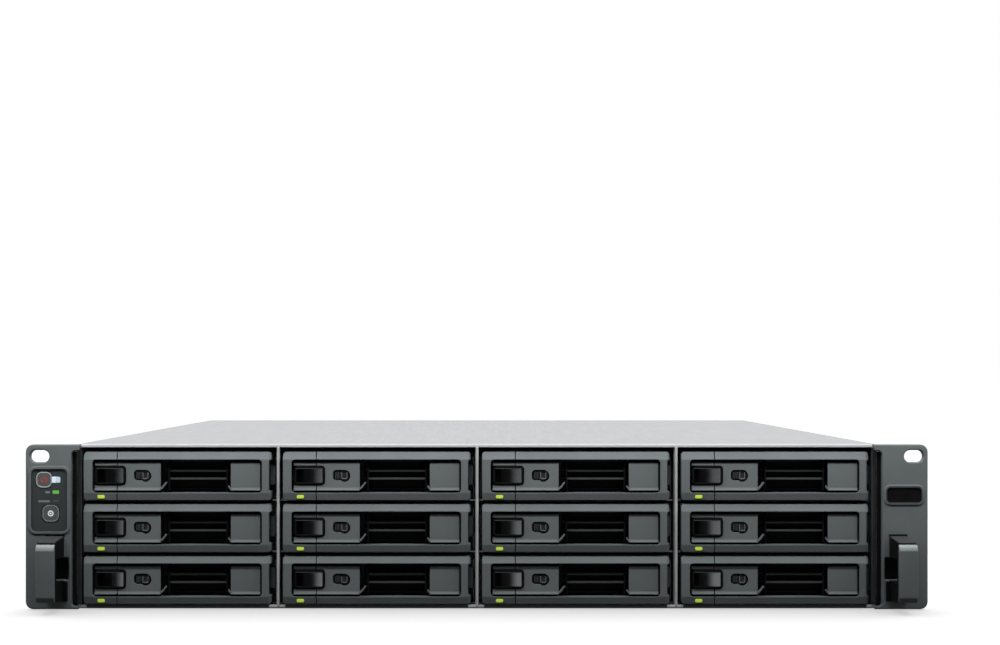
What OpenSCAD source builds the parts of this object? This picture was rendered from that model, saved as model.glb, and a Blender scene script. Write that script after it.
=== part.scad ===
// Two-unit rack storage server with twelve hot-swap drive trays.
// +Z is up, the drive trays face -Y, and the origin is the middle of the footprint.

/* [Rack format] */
// Width over both rack ears
rack_w = 482.6; // [482:0.1:483]
// Height of the unit
unit_h = 88.1; // [88:0.1:88.9]
// Distance between the two rack slots
slot_pitch = 467.8; // [464:0.1:468]
// Length of a rack slot
slot_l = 10.5; // [8:0.1:10.8]
// Width of a rack slot
slot_h = 6.6; // [6:0.1:7]
// Height of the rack slots above the base
slot_z = 81.8; // [78:0.1:82.5]

/* [Chassis] */
// Width of the chassis over its side walls
body_w = 427.6; // [427.6:0.1:428]
// Depth from the ear face to the back wall
body_d = 666; // [650:1:760]
// Thickness of the steel sheet
sheet = 1.2; // [1:0.1:1.2]
// Depth of the cover's side skirts
skirt_h = 14; // [10:1:20]
// Depth of the rack ears
ear_d = 7; // [7:0.5:7.5]
// Reach of the front handles before the ear face
handle_out = 32; // [26:1:40]
// Thickness of a handle's bar
handle_bar = 8; // [6:0.5:9]
// Width of a handle
handle_w = 9.5; // [8:0.5:10]
// Reach of the power supply handles behind the back wall
psu_out = 26; // [22:1:32]

/* [Drive trays] */
// Width of a tray bezel
bezel_w = 101; // [100:0.1:101.4]
// Height of a tray bezel
bezel_h = 26.6; // [26.4:0.1:26.8]
// Distance from column to column
column_pitch = 106.8; // [106.6:0.1:106.8]
// Distance from row to row
row_pitch = 27.85; // [27.8:0.05:27.9]
// Height of the lowest bezel above the base
bezel_base = 2.3; // [2.3:0.1:2.4]
// How far the bezels sit behind the ear face
bezel_inset = 3; // [2:0.5:4]
// Width of the fixed post at the left of a bezel
post_w = 18; // [17:0.5:19]
// Gap between the fixed post and the lever
seam = 0.5; // [0.4:0.1:0.6]
// Thickness of the lever's frame
lever_d = 10; // [8:0.5:10]
// Radius of the lever's rounded hinge end
lever_r = 5.5; // [5:0.1:6]
// Radius of the lever's hinge pin
pin_r = 1; // [0.8:0.1:1.2]
// Width of a hard drive
drive_w = 101.6; // [101:0.1:101.6]
// Length of a hard drive
drive_l = 147; // [140:1:147]
// Height of a hard drive
drive_h = 26.1; // [20:0.1:26.1]
// Width of the release button
button_w = 16.5; // [15:0.1:16.5]
// Height of the release button
button_h = 10.6; // [9:0.1:11]
// Travel of the release button
button_travel = 2; // [1:0.1:2]

/* [Cooling] */
// Side of a system fan's frame
fan_w = 80; // [76:1:80]
// Depth of a system fan
fan_d = 38; // [25:1:38]
// Number of blades on a rotor
blade_count = 7; // [5:1:9]

/* [Power supplies] */
// Width of a power supply
psu_w = 73.5; // [70:0.5:74]
// Height of a power supply
psu_h = 38.8; // [36:0.1:38.8]
// Length of a power supply's housing
psu_l = 185; // [180:1:190]

/* [Hidden] */
$fn = 48;
COLUMNS = 4;
ROWS = 3;
TRAYS = COLUMNS * ROWS;
FANS = 3;

front_y = -(handle_out + body_d + psu_out) / 2;
face_y = front_y + handle_out;
rear_y = face_y + body_d;
bezel_y = face_y + bezel_inset;
side_x = body_w / 2;
wall_x = side_x - sheet;
ear_x = rack_w / 2;
ear_in = ear_x - 24.5;
ear_top_in = ear_x - 28.5;
lid_z = unit_h - sheet;

post_d = 14;
plate_t = 1.5;
rail_t = 0.9;
rail_h = 23.7;
sled_w = 103.5;
sled_x = (bezel_w - sled_w) / 2;
sled_z = 0.3;
drive_y = 22;
window_x = 5.7;
window_z = [5.2, 21.5];
panel_y = 2.5;
vent_x = [41.4, 78.7];
button_x = 6.2;
button_z = 8.2;
button_y = 1.2;
button_d = 9.8;
fit_gap = 0.4;
hinge_x = bezel_w - lever_r;
hinge_y = lever_r;
pin_gap = 0.08;

divider_t = 1.6;
divider_y = [bezel_y + 5, bezel_y + 170];
rib_w = 3;
guide_t = 0.5;
rib_h = 0.9;
backplane_y = bezel_y + 172.4;
fan_y = backplane_y + 30;
fan_pitch = 138;
fan_z = 3.4;
board_z = 7;
psu_x = wall_x - 0.4 - psu_w;
psu_y = rear_y - psu_l;
psu_base = [sheet + 0.4, sheet + 0.8 + psu_h + sheet];
io_z = board_z + 1.6;
slot_cover_x = -190;

function two_digits(i) = i < 10 ? str("0", i) : str(i);
function tray_x(i) = ((i - 1) % COLUMNS - (COLUMNS - 1) / 2) * column_pitch - bezel_w / 2;
function tray_z(i) = bezel_base + (ROWS - 1 - floor((i - 1) / COLUMNS)) * row_pitch;
function numbered(name, count) = [for (i = [1:count]) str(name, two_digits(i))];

// Box from one corner to the opposite one
module slab(low, high) {
    translate(low) cube(high - low);
}

// Box whose four edges along Y are rounded
module rounded_slab(low, high, r) {
    slab([low.x + r, low.y, low.z], [high.x - r, high.y, high.z]);
    slab([low.x, low.y, low.z + r], [high.x, high.y, high.z - r]);
    for (x = [low.x + r, high.x - r], z = [low.z + r, high.z - r])
        translate([x, low.y, z]) along_y(high.y - low.y, r);
}

// Cylinder that runs towards +Y
module along_y(h, r) {
    rotate([-90, 0, 0]) cylinder(h = h, r = r);
}

// Cylinder centred on the origin that runs along X
module across_x(h, r) {
    rotate([0, 90, 0]) cylinder(h = h, r = r, center = true);
}

// ---------------------------------------------------------------- chassis

rail_hole_y = [-200, 200];
rail_hole_z = [25, 63];
rail_hole_r = 2;
cover_screw_y = [-290, 0, 300];
cover_screw_z = unit_h - 7;
screw_r = 1.4;
screw_gap = 0.1;
cover_y = face_y + ear_d + 0.3;
cover_lip_x = ear_top_in - 0.3;

module side_holes(r, ys, zs) {
    for (y = ys, z = zs) translate([0, y, z]) across_x(2 * ear_x, r);
}

module chassis_base() {
    color("silver") difference() {
        union() {
            slab([-side_x, bezel_y + 4, 0], [side_x, rear_y, sheet]);
            slab([-side_x, bezel_y + 2.8, 0], [side_x, bezel_y + 4, 2]);
            for (side = [0, 1]) mirror([side, 0, 0])
                slab([wall_x, bezel_y + 5, 0], [side_x, rear_y, lid_z]);
        }
        side_holes(rail_hole_r, rail_hole_y, rail_hole_z);
        side_holes(screw_r + screw_gap, cover_screw_y, [cover_screw_z]);
        side_holes(screw_r + screw_gap, ear_screw_y, ear_screw_z);
    }
}

module top_cover() {
    color("gainsboro") difference() {
        union() {
            slab([-side_x - sheet, cover_y, lid_z], [side_x + sheet, rear_y, unit_h]);
            slab([-cover_lip_x, face_y + 5, lid_z], [cover_lip_x, cover_y, unit_h]);
            slab([-cover_lip_x, face_y + 5, unit_h - 2.4], [cover_lip_x, face_y + 6, lid_z]);
            for (side = [0, 1]) mirror([side, 0, 0])
                slab([side_x, cover_y, unit_h - skirt_h], [side_x + sheet, rear_y, lid_z]);
        }
        side_holes(screw_r + screw_gap, cover_screw_y, [cover_screw_z]);
    }
}

// Ribs under one column's trays, on the wall whose face is at x
module tray_ribs(x, side) {
    for (row = [0:ROWS - 1]) {
        top = bezel_base + row * row_pitch - 0.05;
        low = row == 0 ? sheet : top - rib_h;
        slab([min(x, x + side * rib_w), bezel_y + 15, low],
             [max(x, x + side * rib_w), divider_y[1], top]);
    }
}

module drive_cage() {
    color("lightgray") for (column = [1:COLUMNS - 1]) {
        x = (column - COLUMNS / 2) * column_pitch;
        slab([x - divider_t / 2, divider_y[0], sheet], [x + divider_t / 2, divider_y[1], lid_z]);
        for (side = [-1, 1]) tray_ribs(x + side * divider_t / 2, side);
    }
    color("lightgray") for (side = [-1, 1]) {
        slab([side > 0 ? wall_x - guide_t : -wall_x, divider_y[0], sheet],
             [side > 0 ? wall_x : guide_t - wall_x, divider_y[1], lid_z]);
        tray_ribs(side * (wall_x - guide_t), -side);
    }
}

// ---------------------------------------------------------------- ears and handles

panel_low = [-238.2, 41.6];
panel_high = [-218.9, 75];
panel_depth = 2.6;
badge_low = [219.4, 57.2];
badge_high = [237.7, 65];
power_at = [-231.4, 69.2];
identify_at = [-227.8, 51.2];
push_w = 8.4;
push_r = 2;
push_d = 4.2;
push_pocket = 6;
wing_t = 2.4;
wing_y = 62;
wing_z = [4, 73];
ear_screw_y = [face_y + 30, face_y + 62];
ear_screw_z = [20, 58];

module rack_slot() {
    for (x = [-1, 1] * (slot_l - slot_h) / 2)
        translate([x, face_y - 1, slot_z]) along_y(ear_d + 2, slot_h / 2);
    slab([-(slot_l - slot_h) / 2, face_y - 1, slot_z - slot_h / 2],
         [(slot_l - slot_h) / 2, face_y + ear_d + 1, slot_z + slot_h / 2]);
}

// Right ear without its recess: a moulded block on a steel wing
module ear_blank() {
    back = face_y + ear_d;
    difference() {
        union() {
            rounded_slab([ear_in, face_y, 0], [ear_x, back, unit_h], 4);
            slab([ear_in, face_y, 0], [ear_in + 5, back, unit_h]);
            slab([ear_top_in, face_y, unit_h - 4.2], [ear_in, back, unit_h]);
            slab([ear_top_in, face_y, 0], [ear_in, face_y + 5.5, 1.6]);
            slab([side_x, face_y + 4, 4], [ear_in, back, 73]);
            slab([side_x, back, wing_z[0]], [side_x + wing_t, back + wing_y, wing_z[1]]);
        }
        translate([slot_pitch / 2, 0, 0]) rack_slot();
        side_holes(screw_r + screw_gap, ear_screw_y, ear_screw_z);
        finger_window();
    }
}

// Recess behind the handle that gives the fingers room
module finger_window() {
    slab([ear_in + 1.5, face_y - 1, 15.8], [ear_in + 15, face_y + 5, 27.5]);
}

module push_hole(at, gap, low_y, high_y) {
    half = push_w / 2 + gap;
    rounded_slab([at.x - half, low_y, at.y - half], [at.x + half, high_y, at.y + half], push_r);
}

module left_ear() {
    color("dimgray") difference() {
        mirror([1, 0, 0]) ear_blank();
        rounded_slab([panel_low.x, face_y - 1, panel_low.y],
                     [panel_high.x, face_y + panel_depth, panel_high.y], 2);
        for (at = [power_at, identify_at]) push_hole(at, fit_gap, face_y - 1, face_y + push_pocket);
    }
}

module right_ear() {
    color("dimgray") difference() {
        ear_blank();
        rounded_slab([badge_low.x, face_y - 1, badge_low.y],
                     [badge_high.x, face_y + 1.6, badge_high.y], 1.5);
    }
}

module control_panel() {
    color("darkslategray") difference() {
        rounded_slab([panel_low.x, face_y + 1, panel_low.y],
                     [panel_high.x, face_y + panel_depth, panel_high.y], 2);
        for (at = [power_at, identify_at]) push_hole(at, fit_gap, face_y - 1, face_y + ear_d);
    }
}

module push_button(at) {
    push_hole(at, 0, face_y + 0.4, face_y + 0.4 + push_d);
}

module power_button() {
    color("gray") push_button(power_at);
}

module identify_button() {
    color("gray") push_button(identify_at);
}

module badge_plate() {
    color("black") rounded_slab([badge_low.x, face_y + 0.8, badge_low.y],
                                [badge_high.x, face_y + 1.6, badge_high.y], 1.5);
}

// D-shaped pull in the YZ plane, for the right ear
module handle_loop() {
    out = handle_out;
    bar = handle_bar;
    x = 220.7;
    translate([x + handle_w, face_y, 0]) rotate([0, -90, 0]) linear_extrude(handle_w) difference() {
        polygon([[3.5, 0], [4.6, -4], [5.8, -out + 3.5], [9.5, -out], [33.3, -out], [36.7, -out + 3],
                 [38.4, -out + 8], [38.8, -2], [40, 0]]);
        polygon([[11.5, 1], [14.8, -out + bar + 3], [17, -out + bar], [29, -out + bar],
                 [31, -out + bar + 3], [33, 1]]);
    }
}

module right_handle() {
    color("slategray") handle_loop();
}

module left_handle() {
    color("slategray") mirror([1, 0, 0]) handle_loop();
}

// ---------------------------------------------------------------- drive trays, in a bay's own frame

module in_bay(i) {
    translate([tray_x(i), bezel_y, tray_z(i)]) children();
}

module drive_tray() {
    color("dimgray") difference() {
        slab([0, 0, 0], [post_w, post_d, bezel_h]);
        slab([window_x, -1, window_z[0]], [post_w + 1, panel_y, window_z[1]]);
        slab([button_x - fit_gap, -1, button_z - fit_gap],
             [post_w + 1, post_d - 0.6, button_z + button_h + fit_gap]);
    }
    color("gray") difference() {
        union() {
            slab([sled_x, post_d, sled_z], [sled_x + sled_w, post_d + plate_t, bezel_h - sled_z]);
            slab([sled_x, post_d + plate_t, sled_z], [sled_x + sled_w, drive_y - 0.2, sled_z + rail_t]);
            for (x = [sled_x, sled_x + sled_w - rail_t])
                slab([x, post_d + plate_t, sled_z], [x + rail_t, drive_y + drive_l - 3, sled_z + rail_h]);
            for (z = [1.2, 22.4]) hinge_lug(z);
            translate([hinge_x, hinge_y, 1.2]) cylinder(h = 24.2, r = pin_r);
        }
        slab([vent_x[0], post_d - 1, 6], [hinge_x - 9, post_d + plate_t + 1, 20.6]);
    }
    color("silver") slab([(bezel_w - drive_w) / 2, drive_y, sled_z],
                         [(bezel_w + drive_w) / 2, drive_y + drive_l, sled_z + drive_h]);
}

module hinge_lug(z) {
    slab([hinge_x - 7, hinge_y, z], [hinge_x, post_d, z + 3]);
    translate([hinge_x, hinge_y, z]) cylinder(h = 3, r = 2.6);
}

module tray_lever() {
    left = post_w + seam;
    skin = 2.7;
    knuckle_x = hinge_x - 11.5;
    color("gray") difference() {
        union() {
            for (z = [[0, window_z[0]], [window_z[1], bezel_h]]) {
                slab([left, 0, z[0]], [knuckle_x, lever_d, z[1]]);
                slab([knuckle_x, 0, z[0]], [hinge_x, skin, z[1]]);
            }
            slab([hinge_x - 0.2, 0, window_z[0]], [hinge_x, skin, window_z[1]]);
            intersection() {
                translate([hinge_x, hinge_y, 0]) difference() {
                    cylinder(h = bezel_h, r = lever_r);
                    translate([0, 0, -1]) cylinder(h = bezel_h + 2, r = lever_r - skin);
                }
                slab([hinge_x, 0, 0], [bezel_w, hinge_y, bezel_h]);
            }
            slab([left, panel_y, window_z[0]], [vent_x[0], panel_y + plate_t, window_z[1]]);
            slab([vent_x[1], panel_y, window_z[0]], [hinge_x, panel_y + plate_t, window_z[1]]);
            for (x = [vent_x[0] - 1.2, vent_x[1]])
                slab([x, panel_y, window_z[0]], [x + 1.2, lever_d, window_z[1]]);
            for (z = [11.3, 15.5]) slab([vent_x[0], 5, z], [vent_x[1], 9, z + 0.8]);
            slab([knuckle_x, panel_y, 4.6], [hinge_x, 8, 22]);
            translate([hinge_x, hinge_y, 4.6]) cylinder(h = 17.4, r = lever_r - 0.3);
        }
        translate([hinge_x, hinge_y, -1]) cylinder(h = bezel_h + 2, r = pin_r + pin_gap);
        slab([left - 1, -1, button_z - fit_gap - 0.2],
             [button_x + button_w + 0.6, lever_d + 1, button_z + button_h + fit_gap + 0.2]);
        rounded_slab([27.5, -1, 10.6], [36, panel_y + 1, 16.2], 2.7);
    }
}

module release_button() {
    scoop_r = 14;
    color("black") difference() {
        rounded_slab([button_x, button_y, button_z],
                     [button_x + button_w, button_y + button_d, button_z + button_h], 1.6);
        translate([button_x + 4, button_y - scoop_r + 3, button_z - 1])
            cylinder(h = button_h + 2, r = scoop_r);
    }
}

// ---------------------------------------------------------------- inside the chassis

module backplane() {
    color("darkgreen") difference() {
        slab([-wall_x + 1, backplane_y, 2.2], [wall_x - 1, backplane_y + 2, lid_z - 0.6]);
        for (i = [1:TRAYS]) slab([tray_x(i) + 46, backplane_y - 1, tray_z(i) + 5],
                                 [tray_x(i) + 96, backplane_y + 3, tray_z(i) + 21]);
    }
    color("black") for (i = [1:TRAYS])
        slab([tray_x(i) + 5, bezel_y + drive_y + drive_l + 0.4, tray_z(i) + 3],
             [tray_x(i) + 42, backplane_y, tray_z(i) + 9]);
}

module at_fan(i) {
    translate([(i - (FANS + 1) / 2) * fan_pitch, fan_y, fan_z + fan_w / 2]) children();
}

fan_duct_r = 37.5;
hub_r = 17;
shaft_r = 1.5;
bearing_gap = 0.08;

module fan_bracket() {
    bracket_y = fan_y - sheet;
    color("silver") difference() {
        slab([-wall_x, bracket_y, sheet], [wall_x, fan_y, lid_z]);
        for (i = [1:FANS]) at_fan(i) translate([0, -10, 0]) along_y(20, fan_duct_r);
    }
    color("black") for (i = [1:FANS]) at_fan(i) {
        difference() {
            slab([-fan_w / 2, 0, -fan_w / 2], [fan_w / 2, fan_d, fan_w / 2]);
            translate([0, -1, 0]) along_y(fan_d + 2, fan_duct_r);
        }
        translate([0, fan_d - 4, 0]) along_y(4, hub_r);
        translate([0, fan_d - 14, 0]) along_y(12, shaft_r);
        for (a = [45:90:315]) rotate([0, a, 0])
            slab([hub_r - 1, fan_d - 4, -1.5], [fan_duct_r + 1, fan_d, 1.5]);
    }
}

module fan_rotor(i) {
    color("darkgray") at_fan(i) difference() {
        union() {
            translate([0, 2, 0]) along_y(fan_d - 7, hub_r);
            rotor_blades();
        }
        translate([0, fan_d - 15, 0]) along_y(20, shaft_r + bearing_gap);
    }
}

module rotor_blades() {
    for (k = [0:blade_count - 1]) rotate([0, k * 360 / blade_count, 0])
        translate([0, fan_d / 2 - 1.5, 0]) rotate([38, 0, 0])
            slab([hub_r - 2, -11, -0.8], [fan_duct_r - 2.5, 11, 0.8]);
}

module mainboard() {
    color("darkgreen") slab([-200, -70, board_z], [psu_x - 8, rear_y - 3, io_z]);
    color("goldenrod") for (x = [-190, 120], y = [-60, 130, 320])
        translate([x, y, sheet]) cylinder(h = board_z - sheet, r = 3);
    color("seagreen") for (k = [0:3])
        slab([-110 + k * 9, 60, io_z], [-108.6 + k * 9, 193, io_z + 30]);
    color("black") for (k = [0:3])
        slab([-111.5 + k * 9, 58, io_z], [-110.4 + k * 9, 195, io_z + 6]);
}

module heatsink() {
    color("silver") slab([-40, 80, io_z], [50, 170, io_z + 8]);
    color("silver") for (k = [0:15])
        slab([-40 + k * 5.88, 80, io_z + 8], [-38.2 + k * 5.88, 170, io_z + 58]);
}

// ---------------------------------------------------------------- back

lan_x = [-60, -43, -26, -9];
lan_size = [11.9, 8.4];
usb_x = [-100, -83];
usb_z = [io_z + 0.8, io_z + 8.3];
usb_size = [13.4, 5.9];
sfp_x = [22, 40];
sfp_size = [14.2, 9.6];
port_d = 18;
socket_z = io_z + 0.8;

// Metal shell of a socket, open to the rear
module socket(x, z, size, depth) {
    y = rear_y - sheet;
    difference() {
        slab([x - 1, y - depth, z - 0.8], [x + size.x + 1, y, z + size.y + 0.8]);
        slab([x, y - depth + 2, z], [x + size.x, y + 1, z + size.y]);
    }
}

module rear_panel() {
    y = rear_y - sheet;
    color("silver") difference() {
        slab([-wall_x, y, sheet], [wall_x, rear_y, lid_z]);
        slab([psu_x - 0.8, y - 1, -1], [wall_x + 1, rear_y + 1, psu_base[1] + psu_h + 0.6]);
        for (x = lan_x) slab([x, y - 1, socket_z], [x + lan_size.x, rear_y + 1, socket_z + lan_size.y]);
        for (x = usb_x, z = usb_z) slab([x, y - 1, z], [x + usb_size.x, rear_y + 1, z + usb_size.y]);
        for (x = sfp_x) slab([x, y - 1, socket_z], [x + sfp_size.x, rear_y + 1, socket_z + sfp_size.y]);
        for (k = [0:26]) slab([-20 + k * 5.5, y - 1, 34], [-17 + k * 5.5, rear_y + 1, 76]);
    }
    color("gray") {
        for (x = lan_x) socket(x, socket_z, lan_size, port_d);
        for (x = usb_x, z = usb_z) socket(x, z, usb_size, 16);
        for (x = sfp_x) socket(x, socket_z, sfp_size, 48);
    }
    color("lightgray") for (k = [0:3])
        slab([slot_cover_x + k * 20.3, rear_y, 16], [slot_cover_x + 18.5 + k * 20.3, rear_y + 0.8, 80]);
    color("silver") {
        slab([psu_x - 1.6, psu_y - 4, sheet], [psu_x - 0.8, y, lid_z]);
        slab([psu_x - 0.8, psu_y + 20, psu_base[1] - 1.2], [wall_x, y, psu_base[1] - 0.4]);
    }
}

inlet_low = [8, 11];
inlet_size = [24.6, 16.6];
latch_x = 71.3;
latch_root = 28;
latch_z = [9, 30];

module in_psu_bay(i) {
    translate([psu_x, psu_y, psu_base[i - 1]]) children();
}

module power_supply() {
    color("silver") difference() {
        slab([0, 0, 0], [psu_w, psu_l, psu_h]);
        slab([sheet, -1, sheet], [psu_w - sheet, psu_l - 36, psu_h - sheet]);
        slab([inlet_low.x, psu_l - 17, inlet_low.y],
             [inlet_low.x + inlet_size.x, psu_l + 1, inlet_low.y + inlet_size.y]);
        slab([latch_x - 5, psu_l - latch_root - 3, latch_z[0] - 1],
             [psu_w + 1, psu_l + 1, latch_z[1] + 1]);
        for (k = [0:5]) slab([40, psu_l - 3, 6 + k * 4.8], [64, psu_l + 1, 8.4 + k * 4.8]);
    }
    color("silver") translate([latch_x, psu_l - latch_root, latch_z[0] - 1])
        cylinder(h = latch_z[1] - latch_z[0] + 2, r = pin_r);
    color("dimgray") difference() {
        slab([36, psu_l, 2], [42, psu_l + psu_out, 36.8]);
        slab([35, psu_l - 1, 7], [43, psu_l + psu_out - 6, 31.8]);
    }
}

module psu_latch() {
    color("firebrick") difference() {
        union() {
            slab([latch_x - 1, psu_l - latch_root, latch_z[0]], [latch_x + 1, psu_l + 12, latch_z[1]]);
            slab([latch_x - 4, psu_l + 9, latch_z[0]], [latch_x + 1, psu_l + 12, latch_z[1]]);
            translate([latch_x, psu_l - latch_root, latch_z[0]])
                cylinder(h = latch_z[1] - latch_z[0], r = 2);
        }
        translate([latch_x, psu_l - latch_root, 0]) cylinder(h = psu_h, r = pin_r + pin_gap);
    }
}

// ---------------------------------------------------------------- fasteners

// Pan-head screw on the right side, its head against a surface at x
module side_screw(x, y, z, grip) {
    translate([x - grip, y, z]) rotate([0, 90, 0]) cylinder(h = grip, r = screw_r);
    translate([x, y, z]) rotate([0, 90, 0]) cylinder(h = 1.2, r = 2.6);
}

module screws() {
    color("gainsboro") for (side = [0, 1]) mirror([side, 0, 0]) {
        for (y = cover_screw_y) side_screw(side_x + sheet, y, cover_screw_z, 2 * sheet);
        for (y = ear_screw_y, z = ear_screw_z) side_screw(side_x + wing_t, y, z, wing_t + sheet);
    }
}

chassis_base();
top_cover();
drive_cage();
left_ear();
right_ear();
left_handle();
right_handle();
control_panel();
power_button();
identify_button();
badge_plate();
backplane();
fan_bracket();
mainboard();
heatsink();
rear_panel();
screws();
for (i = [1:FANS])
    fan_rotor(i);
for (i = [1:2]) {
    in_psu_bay(i) power_supply();
    in_psu_bay(i) psu_latch();
}
for (i = [1:TRAYS]) {
    in_bay(i) drive_tray();
    in_bay(i) tray_lever();
    in_bay(i) release_button();
}
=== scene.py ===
import math

import bmesh
import bpy
from mathutils import Matrix, Vector


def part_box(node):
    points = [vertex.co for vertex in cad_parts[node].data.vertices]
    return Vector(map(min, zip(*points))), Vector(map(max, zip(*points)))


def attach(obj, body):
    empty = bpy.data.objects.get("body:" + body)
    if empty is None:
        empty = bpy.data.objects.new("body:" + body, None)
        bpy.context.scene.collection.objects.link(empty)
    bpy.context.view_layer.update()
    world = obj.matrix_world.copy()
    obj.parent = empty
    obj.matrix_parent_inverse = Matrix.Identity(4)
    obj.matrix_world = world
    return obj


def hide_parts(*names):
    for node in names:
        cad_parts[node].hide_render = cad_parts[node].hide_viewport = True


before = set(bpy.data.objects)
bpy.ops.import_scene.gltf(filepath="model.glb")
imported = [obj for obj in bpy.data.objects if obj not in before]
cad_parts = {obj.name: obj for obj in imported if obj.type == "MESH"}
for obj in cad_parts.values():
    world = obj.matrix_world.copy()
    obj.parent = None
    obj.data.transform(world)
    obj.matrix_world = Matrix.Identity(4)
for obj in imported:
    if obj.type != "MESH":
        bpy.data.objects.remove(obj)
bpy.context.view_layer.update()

MM = 0.001
TRAYS = 12
COVER_SCREWS = (-290, 0, 300)


# ---------------- places from the frame, in millimetres

def corners(node):
    """Lowest and highest corner of a CAD node."""
    low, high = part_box(node)
    return low / MM, high / MM


def number(name, i):
    return f"{name}_{i:02d}"


ear_low, ear_high = corners("right_ear")
cover_high = corners("top_cover")[1]
base_high = corners("chassis_base")[1]
lever_low, lever_high = corners("tray_lever_01")
post_low, post_high = corners("drive_tray_01")

UNIT_H = ear_high.z
FACE_Y = ear_low.y
EAR_X = ear_high.x
EAR_IN = EAR_X - 24.5
EAR_TOP_IN = ear_low.x
EAR_D = 7
REAR_Y = cover_high.y
SIDE_X = base_high.x

BEZEL_H = lever_high.z - lever_low.z - 0.6
BEZEL_W = 101
SLED_W = post_high.x - post_low.x
POST_W = 17.6
SEAM = 0.5
LEVER_D = 10
LEVER_R = 5.5
HINGE_X = BEZEL_W - LEVER_R
HINGE = (HINGE_X, LEVER_R, 0)


def bay_origin(i):
    """Lower left front corner of tray i's bezel."""
    low, high = corners(number("tray_lever", i))
    return Vector((high.x - BEZEL_W, low.y, low.z))


# ---------------- outlines, as lists of (across, up)

def arc(x, z, r, start, turn, steps):
    """Points along an arc, from the angle start through turn, both in degrees."""
    angles = [math.radians(start + turn * k / steps) for k in range(steps + 1)]
    return [(x + r * math.cos(a), z + r * math.sin(a)) for a in angles]


def rect(x0, z0, x1, z1, r=0.0, steps=5):
    """Rectangle with round corners, anticlockwise."""
    if r <= 0:
        return [(x0, z0), (x1, z0), (x1, z1), (x0, z1)]
    right = arc(x1 - r, z0 + r, r, -90, 90, steps) + arc(x1 - r, z1 - r, r, 0, 90, steps)
    return right + arc(x0 + r, z1 - r, r, 90, 90, steps) + arc(x0 + r, z0 + r, r, 180, 90, steps)


def grown(box, by):
    """The box (x0, z0, x1, z1), larger by the same amount on every side."""
    return (box[0] - by, box[1] - by, box[2] + by, box[3] + by)


def disc(x, z, r, steps=28):
    """Circle, anticlockwise."""
    angles = [2 * math.pi * k / steps for k in range(steps)]
    return [(x + r * math.cos(a), z + r * math.sin(a)) for a in angles]


# ---------------- meshes

TURN = {
    "XY": Matrix.Identity(4),
    "XZ": Matrix(((1, 0, 0, 0), (0, 0, -1, 0), (0, 1, 0, 0), (0, 0, 0, 1))),
    "YZ": Matrix(((0, 0, 1, 0), (1, 0, 0, 0), (0, 1, 0, 0), (0, 0, 0, 1))),
}
THIRD = {"XY": (0, 0, 1), "XZ": (0, 1, 0), "YZ": (1, 0, 0)}


def added(name, data):
    """New object in the scene."""
    made = bpy.data.objects.new(name, data)
    bpy.context.scene.collection.objects.link(made)
    return made


def plate(loops, low, high, bevel=0.3, plane="XZ", rings=2):
    """Flat mesh with an outline and holes, from low to high along the third axis, its edges rounded."""
    curve = bpy.data.curves.new("outline", "CURVE")
    curve.dimensions, curve.fill_mode = "2D", "BOTH"
    curve.extrude = ((high - low) / 2 - bevel) * MM
    curve.bevel_depth = bevel * MM
    curve.bevel_resolution = rings - 1
    curve.offset = -bevel * MM
    for loop in loops:
        spline = curve.splines.new("POLY")
        spline.points.add(len(loop) - 1)
        for point, (a, b) in zip(spline.points, loop):
            point.co = (a * MM, b * MM, 0, 1)
        spline.use_cyclic_u = True
    holder = added("outline", curve)
    graph = bpy.context.evaluated_depsgraph_get()
    mesh = bpy.data.meshes.new_from_object(holder.evaluated_get(graph))
    bpy.data.objects.remove(holder)
    bpy.data.curves.remove(curve)
    middle = Vector(THIRD[plane]) * ((low + high) / 2 * MM)
    mesh.transform(Matrix.Translation(middle) @ TURN[plane])
    welded = bmesh.new()
    welded.from_mesh(mesh)
    bmesh.ops.remove_doubles(welded, verts=welded.verts, dist=1e-6)
    welded.to_mesh(mesh)
    welded.free()
    return mesh


def block(low, high, bevel=0.3, rings=2):
    """Box with every edge rounded."""
    bm = bmesh.new()
    bmesh.ops.create_cube(bm, size=1)
    low, high = Vector(low), Vector(high)
    for v in bm.verts:
        v.co = Vector((low[k] + (v.co[k] + 0.5) * (high[k] - low[k]) for k in range(3))) * MM
    if bevel > 0:
        bmesh.ops.bevel(bm, geom=bm.edges[:], offset=bevel * MM, segments=rings, profile=0.5, affect="EDGES")
    return finished(bm)


def spin(profile, centre, axis="Y", steps=32):
    """Turned mesh from (radius, along) pairs about an axis through centre, closed where the radius is 0."""
    bm = bmesh.new()
    rows = []
    for radius, along in profile:
        row = []
        for k in range(1 if radius == 0 else steps):
            a = 2 * math.pi * k / steps
            p = (radius * math.cos(a), radius * math.sin(a))
            place = {"Y": (p[0], along, p[1]), "X": (along, p[1], p[0]), "Z": (p[0], p[1], along)}[axis]
            row.append(bm.verts.new((Vector(centre) + Vector(place)) * MM))
        rows.append(row)
    for a, b in zip(rows, rows[1:]):
        n = max(len(a), len(b))
        if n == 1:
            continue
        for k in range(n):
            around = [a[k % len(a)], a[(k + 1) % len(a)], b[(k + 1) % len(b)], b[k % len(b)]]
            bm.faces.new(list(dict.fromkeys(around)))
    bmesh.ops.recalc_face_normals(bm, faces=bm.faces[:])
    return finished(bm)


def finished(bm):
    """The mesh that a bmesh holds; the bmesh is freed."""
    mesh = bpy.data.meshes.new("part")
    bm.to_mesh(mesh)
    bm.free()
    return mesh


def mirrored(mesh):
    """Copy of a mesh, mirrored across x = 0."""
    copy = mesh.copy()
    copy.transform(Matrix.Scale(-1, 4, (1, 0, 0)))
    copy.flip_normals()
    return copy


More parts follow.
